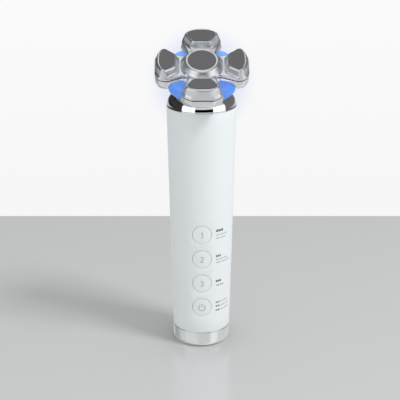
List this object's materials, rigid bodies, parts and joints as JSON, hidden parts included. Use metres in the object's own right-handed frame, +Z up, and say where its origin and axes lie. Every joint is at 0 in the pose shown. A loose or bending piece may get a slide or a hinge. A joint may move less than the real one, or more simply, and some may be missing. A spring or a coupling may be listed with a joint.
{
  "type": "facial toning device",
  "caption": "Tapered handheld facial toning device that stands on its base, with push buttons, a chrome collar and a tilted petal head of flat electrodes round a lit guide.",
  "frame": {"origin": "centre of the rest face under the base", "axes": "+Z up along the handle, +X to the right in the front view, front and buttons towards -Y"},
  "size_m": [0.055, 0.0558, 0.1972],
  "materials": {
    "handle_white": "satin white moulded ABS",
    "button_white": "satin white moulded ABS",
    "base_metal": "satin silver metallised",
    "collar_chrome": "bright vacuum chrome on ABS",
    "lower_chrome": "bright vacuum chrome on ABS",
    "head_satin": "satin silver plated ABS",
    "electrode": "dark grey conductive coating, satin",
    "light_guide": "translucent blue-lit polycarbonate, emissive",
    "led_board": "white solder mask",
    "led": "moulded lamp package",
    "foot_rubber": "matte",
    "seal_rubber": "matte",
    "port_metal": "drawn and plated",
    "screw_steel": "zinc plated",
    "board": "green solder mask",
    "chip": "moulded black",
    "plunger": "moulded",
    "ferrite": "sintered and taped",
    "battery_wrap": "shrink wrap",
    "wire": "insulated wire",
    "frame_plastic": "moulded nylon",
    "contact_gold": "gold plated"
  },
  "bodies": {
    "handle": {"base_foot": "foot_rubber", "base_cap": "base_metal", "base_seal": "seal_rubber", "charging_port": "port_metal", "charge_board": "board", "charge_board_screws": "screw_steel", "charge_harness": "wire", "handle_shell": "handle_white", "chassis": "frame_plastic", "main_board": "board", "board_components": "chip", "board_screws": "screw_steel", "tact_switches": "chip", "transformer": "ferrite", "battery": "battery_wrap", "battery_leads": "wire", "collar": "collar_chrome", "collar_seal": "seal_rubber", "chassis_screws": "screw_steel", "head_lower_shell": "lower_chrome", "head_upper_shell": "head_satin", "head_board": "board", "electrode_contacts": "contact_gold", "head_screws": "screw_steel", "head_harness": "wire", "light_diffuser": "light_guide", "led_board": "led_board", "leds": "led", "electrode_center": "electrode", "electrode_front": "electrode", "electrode_back": "electrode", "electrode_left": "electrode", "electrode_right": "electrode"},
    "power_button_press": {"power_button": "button_white", "switch_plunger_power": "plunger"},
    "button_1_press": {"button_1": "button_white", "switch_plunger_1": "plunger"},
    "button_2_press": {"button_2": "button_white", "switch_plunger_2": "plunger"},
    "button_3_press": {"button_3": "button_white", "switch_plunger_3": "plunger"}
  },
  "joints": [
    {"name": "power_button_travel", "type": "slide", "parent": "handle", "child": "power_button_press", "axis": [0, 1, 0], "range_m": [0, 0.0005], "stiffness_N_per_m": 500, "springref_m": -0.001},
    {"name": "button_1_travel", "type": "slide", "parent": "handle", "child": "button_1_press", "axis": [0, 1, 0], "range_m": [0, 0.0005], "stiffness_N_per_m": 500, "springref_m": -0.001},
    {"name": "button_2_travel", "type": "slide", "parent": "handle", "child": "button_2_press", "axis": [0, 1, 0], "range_m": [0, 0.0005], "stiffness_N_per_m": 500, "springref_m": -0.001},
    {"name": "button_3_travel", "type": "slide", "parent": "handle", "child": "button_3_press", "axis": [0, 1, 0], "range_m": [0, 0.0005], "stiffness_N_per_m": 500, "springref_m": -0.001}
  ]
}
